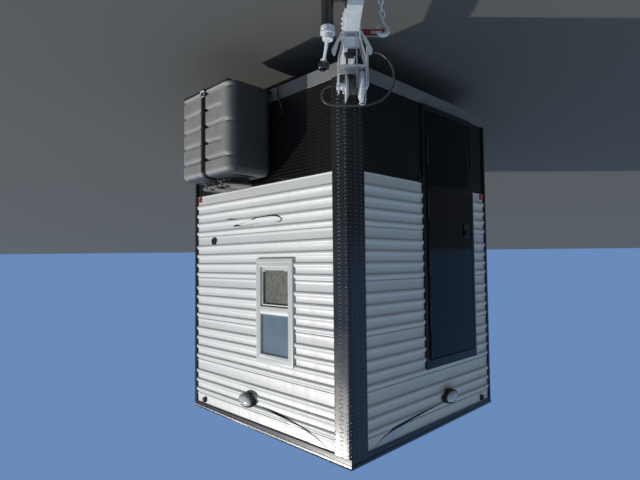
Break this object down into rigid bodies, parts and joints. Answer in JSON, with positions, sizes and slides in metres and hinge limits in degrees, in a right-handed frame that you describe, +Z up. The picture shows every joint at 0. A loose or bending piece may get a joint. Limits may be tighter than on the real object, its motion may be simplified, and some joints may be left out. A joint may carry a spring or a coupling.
{
  "type": "ice fishing hut on a trailer frame",
  "caption": "Tow-behind ice fishing hut with a pointed nose, ribbed white siding, black skirts, a hinged door, windows, a gas bottle cover and a tongue with winch and jack.",
  "frame": {"origin": "on the ground in the middle of the whole object's box", "axes": "+Z up, the pointed nose and the tongue towards -Y, +X to the right as seen from the tongue's end looking at the nose"},
  "size_m": [2.506, 6.077, 2.713],
  "materials": {
    "frame_paint": "silver-grey painted steel tube, dusty",
    "zinc": "bright zinc plate with grease and dull patches",
    "plywood": "floor ply",
    "lining": "pine boarding indoors",
    "roof_membrane": "white roof membrane",
    "black_trim": "satin black painted aluminium",
    "siding_white": "white baked enamel on ribbed aluminium",
    "tread_plate": "gloss black tread plate",
    "door_gloss": "smooth gloss black",
    "handle_plastic": "black",
    "window_vinyl": "white vinyl, semi-gloss",
    "screen_mesh": "dark insect mesh",
    "glass": "clear glass before a dark room",
    "black_plastic": "black",
    "lens_clear": "frosted clear lens",
    "reflector_red": "red reflector",
    "cover_plastic": "dark grey moulded poly",
    "lid_plastic": "dusty faded lid",
    "strap_rubber": "black strap",
    "hose_rubber": "black rubber jacket",
    "tyre": "worn black tyre",
    "rim_paint": "silver wheel",
    "wire_rope": "stranded wire rope",
    "latch_red": "dark red paint",
    "jack_paint": "black painted tube"
  },
  "bodies": {
    "hut": {"nose_rails": "frame_paint", "side_rails": "frame_paint", "cross_members": "frame_paint", "tongue_beam": "zinc", "floor_deck": "plywood", "wheel_wells": "frame_paint", "nose_left_wall_inner": "lining", "nose_left_wall_outer": "lining", "door_header": "lining", "nose_right_wall": "lining", "right_wall": "lining", "left_wall": "lining", "rear_wall": "lining", "roof_panel": "roof_membrane", "roof_trim": "black_trim", "nose_right_siding": "siding_white", "nose_left_siding": "siding_white", "side_siding": "siding_white", "rear_siding": "siding_white", "skirt_plates": "tread_plate", "nose_corner_trim": "tread_plate", "corner_trims": "black_trim", "door_frame": "black_trim", "hinge_pin": "black_trim", "window_frames": "window_vinyl", "window_sashes": "window_vinyl", "window_screens": "screen_mesh", "window_glass": "glass", "porch_light_bases": "black_plastic", "porch_light_lenses": "lens_clear", "marker_lights": "black_plastic", "reflectors": "reflector_red", "wall_fittings": "black_plastic", "tank_cover": "cover_plastic", "tank_lid": "lid_plastic", "tank_strap": "strap_rubber", "tank_tray": "frame_paint", "gas_hose": "hose_rubber", "hook_keeper": "latch_red", "tyres": "tyre", "wheel_rims": "rim_paint", "swing_arms": "frame_paint", "coupler": "zinc", "winch_post": "zinc", "winch_frame": "zinc", "winch_drum": "zinc", "winch_cable": "wire_rope", "winch_crank": "zinc", "jack_tube": "jack_paint", "jack_leg": "zinc", "chain_hook": "zinc", "safety_chain": "zinc", "wiring_cable": "hose_rubber", "wiring_plug": "black_plastic", "wiring_mounts": "black_plastic"},
    "door": {"door_slab": "door_gloss", "door_handle": "handle_plastic", "hinge_leaf": "black_trim"},
    "jack_crank": {"jack_crank": "zinc"}
  },
  "joints": [
    {"name": "door_hinge", "type": "hinge", "parent": "hut", "child": "door", "pos_m": [-0.60965, -1.28126, 1.3], "axis": [0, 0, 1], "range_deg": [0, 170]},
    {"name": "jack_crank_turn", "type": "hinge", "parent": "hut", "child": "jack_crank", "pos_m": [0.125, -2.62255, 0.51], "axis": [0, 0, 1], "continuous": true}
  ]
}
